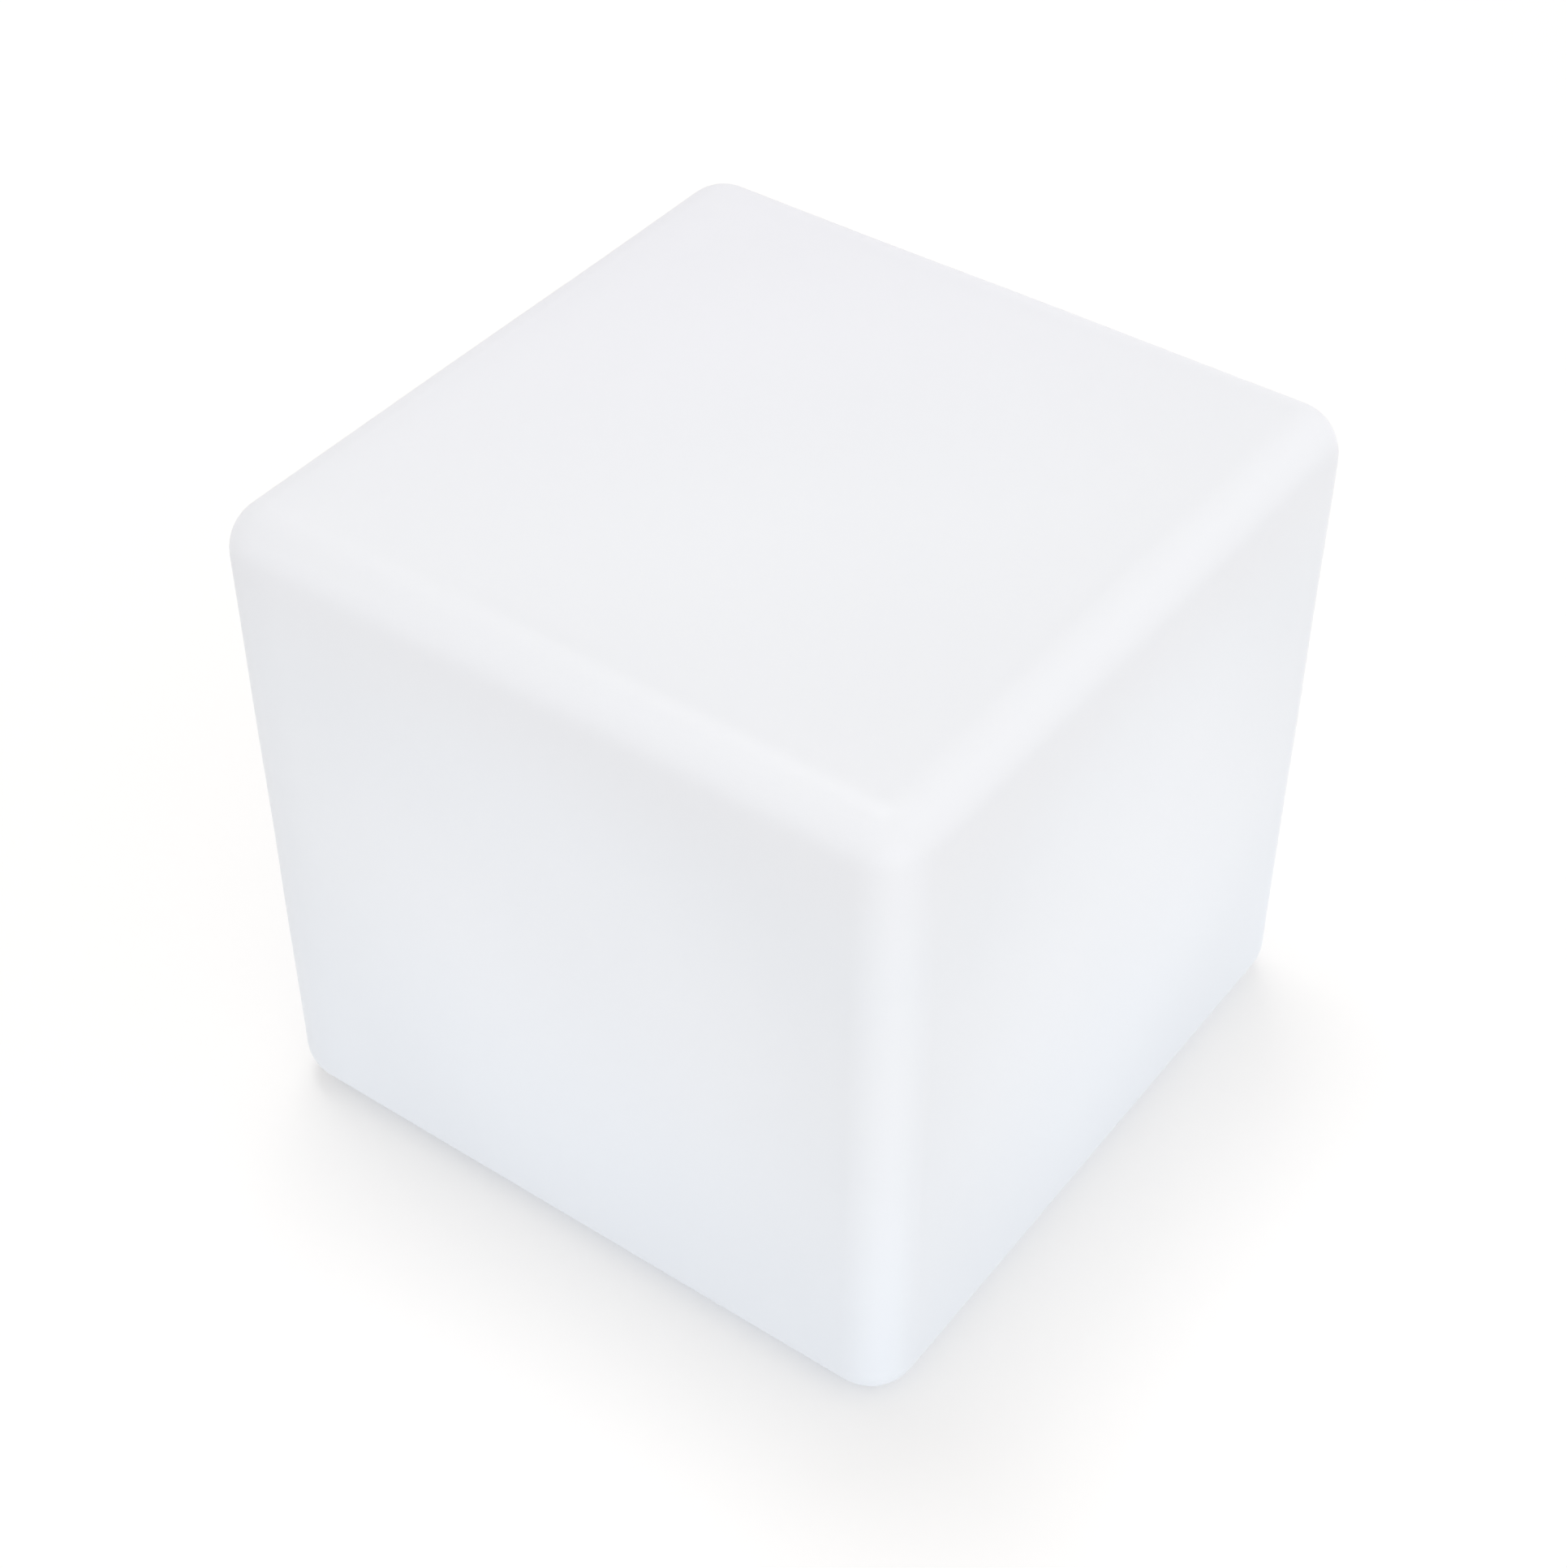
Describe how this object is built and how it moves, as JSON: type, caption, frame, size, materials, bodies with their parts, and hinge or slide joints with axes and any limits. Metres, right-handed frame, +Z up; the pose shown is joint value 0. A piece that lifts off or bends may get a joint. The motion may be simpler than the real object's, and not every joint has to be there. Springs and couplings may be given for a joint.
{
  "type": "led cube light",
  "caption": "Cordless floor cube light: hollow moulded cube with a sealed LED, battery and control module in its underside, a push button and a flap-covered charging socket.",
  "frame": {"origin": "centre of the cube's footprint, on the floor it stands on", "axes": "+Z up through the cube, X and Y square to its sides; the button and the charging socket lie on the -Y side of the underside, the socket towards +X"},
  "size_m": [0.4, 0.4, 0.391],
  "materials": {
    "milky_polyethylene": "translucent milky white polyethylene, satin moulded skin",
    "white_abs": "white moulded ABS, fine spark texture",
    "button_abs": "light grey moulded ABS, polished",
    "silicone_grey": "grey silicone rubber",
    "stainless_steel": "passivated stainless steel",
    "brass": "turned brass",
    "white_solder_mask": "white solder mask on aluminium",
    "led_phosphor": "yellow phosphor in a white package",
    "clear_polycarbonate": "clear polycarbonate",
    "cell_steel": "nickel-plated steel can",
    "nickel_strip": "spot-welded nickel strip",
    "blue_shrink_film": "blue shrink film",
    "black_nylon": "black moulded nylon",
    "white_nylon": "natural white nylon",
    "green_solder_mask": "green solder mask on glass laminate",
    "black_epoxy": "black moulded component bodies",
    "spring_steel": "bright spring wire",
    "red_wire": "PVC wire jacket, red",
    "wire_jacket": "PVC wire jacket, white"
  },
  "bodies": {
    "lamp_body": {"shell": "milky_polyethylene", "shell_base": "milky_polyethylene", "threaded_inserts": "brass", "base_cover": "white_abs", "cover_seal": "silicone_grey", "cover_screws": "stainless_steel", "inner_housing": "white_abs", "housing_screws": "stainless_steel", "led_board": "white_solder_mask", "led_chips": "led_phosphor", "led_board_screws": "stainless_steel", "diffuser_dome": "clear_polycarbonate", "dome_screws": "stainless_steel", "battery_cells": "cell_steel", "cell_tabs": "nickel_strip", "battery_wrap": "blue_shrink_film", "battery_clamp": "black_nylon", "clamp_screws": "stainless_steel", "control_board": "green_solder_mask", "board_components": "black_epoxy", "board_screws": "stainless_steel", "push_switch": "black_nylon", "button_spring": "spring_steel", "charge_socket": "black_nylon", "socket_pin": "brass", "flap_anchor": "silicone_grey", "status_lens": "clear_polycarbonate", "indicator_led": "led_phosphor", "battery_plug": "white_nylon", "battery_leads": "red_wire", "led_plug": "white_nylon", "led_leads": "wire_jacket"},
    "button": {"button_cap": "button_abs", "button_seal": "silicone_grey", "switch_plunger": "black_nylon"},
    "flap": {"port_flap": "silicone_grey"}
  },
  "joints": [
    {"name": "button_press", "type": "slide", "parent": "lamp_body", "child": "button", "axis": [0, 0, 1], "range_m": [0, 0.001], "stiffness_N_per_m": 1200, "springref_m": -0.0006, "deforming": ["button_spring"]},
    {"name": "flap_swing", "type": "hinge", "parent": "lamp_body", "child": "flap", "pos_m": [0.0232, -0.025, 0.023], "axis": [0, -1, 0], "range_deg": [0, 90]}
  ]
}
